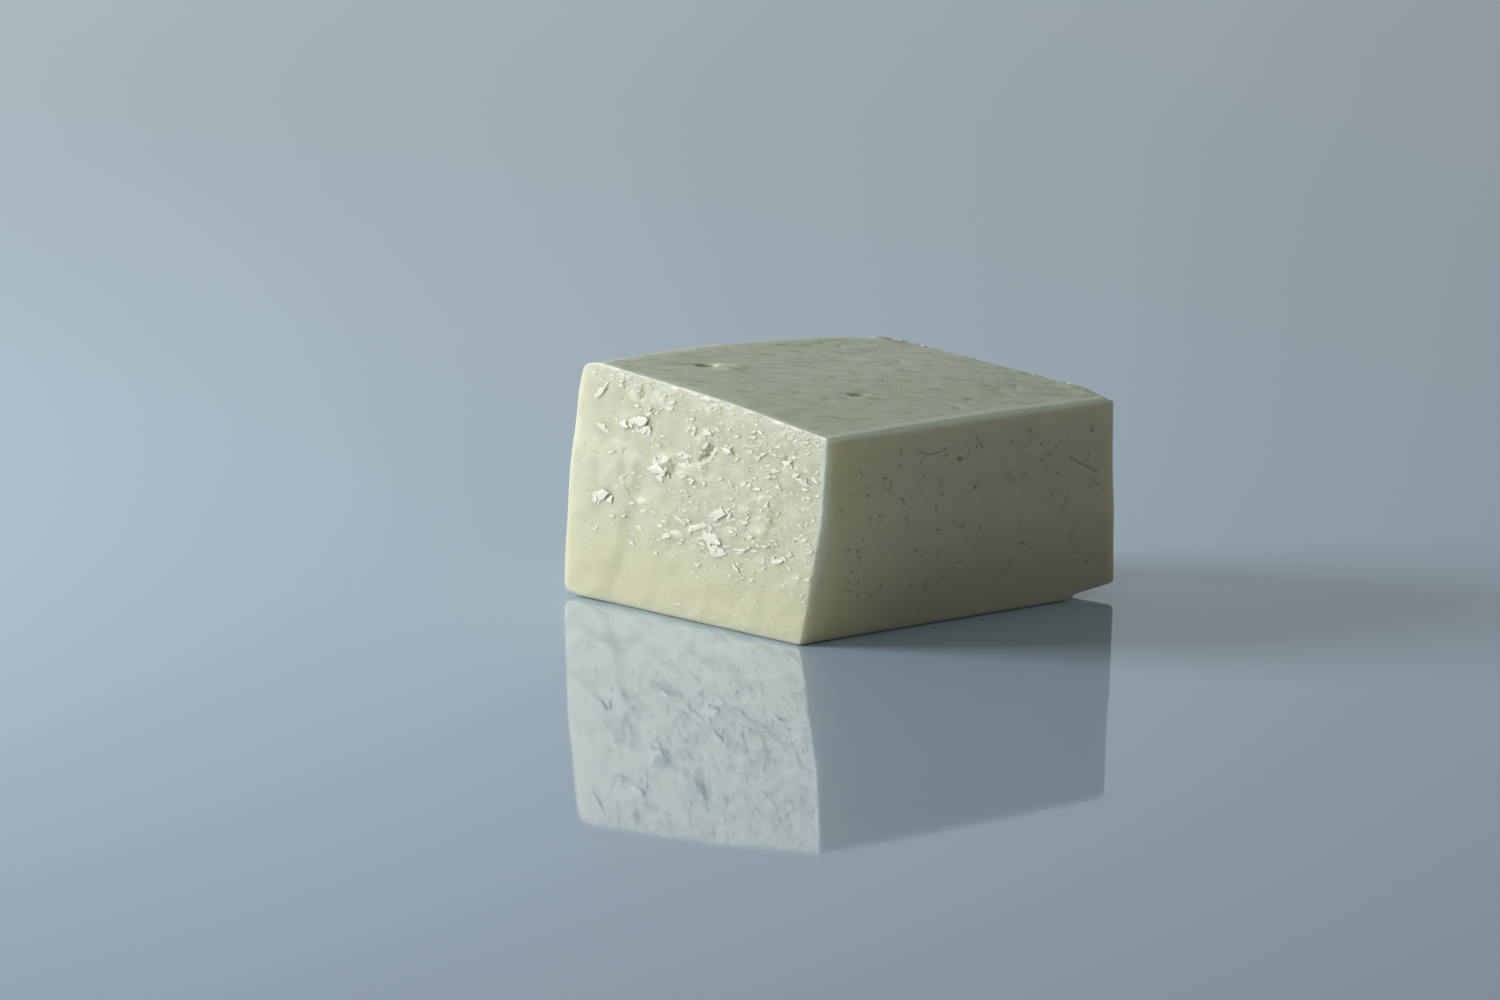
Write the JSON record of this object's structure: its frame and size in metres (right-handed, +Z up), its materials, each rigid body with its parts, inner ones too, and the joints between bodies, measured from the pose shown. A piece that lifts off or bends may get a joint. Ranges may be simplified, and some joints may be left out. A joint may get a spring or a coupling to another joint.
{
  "type": "halloumi cheese block",
  "caption": "Block of semi-hard white brined cheese with one fresh, moist cut face, a sloping top and a rounded moulded corner.",
  "frame": {"origin": "on the floor under the middle of the block's bounding box", "axes": "+X from the fresh cut face towards the far end, +Y from the shaded right face towards the moulded side, +Z up"},
  "size_m": [0.0814, 0.0692, 0.045],
  "materials": {
    "cheese": "moist smooth cheese, satin with small glossy flecks on the cut face"
  },
  "bodies": {
    "root": {"cheese_block": "cheese"}
  },
  "joints": []
}
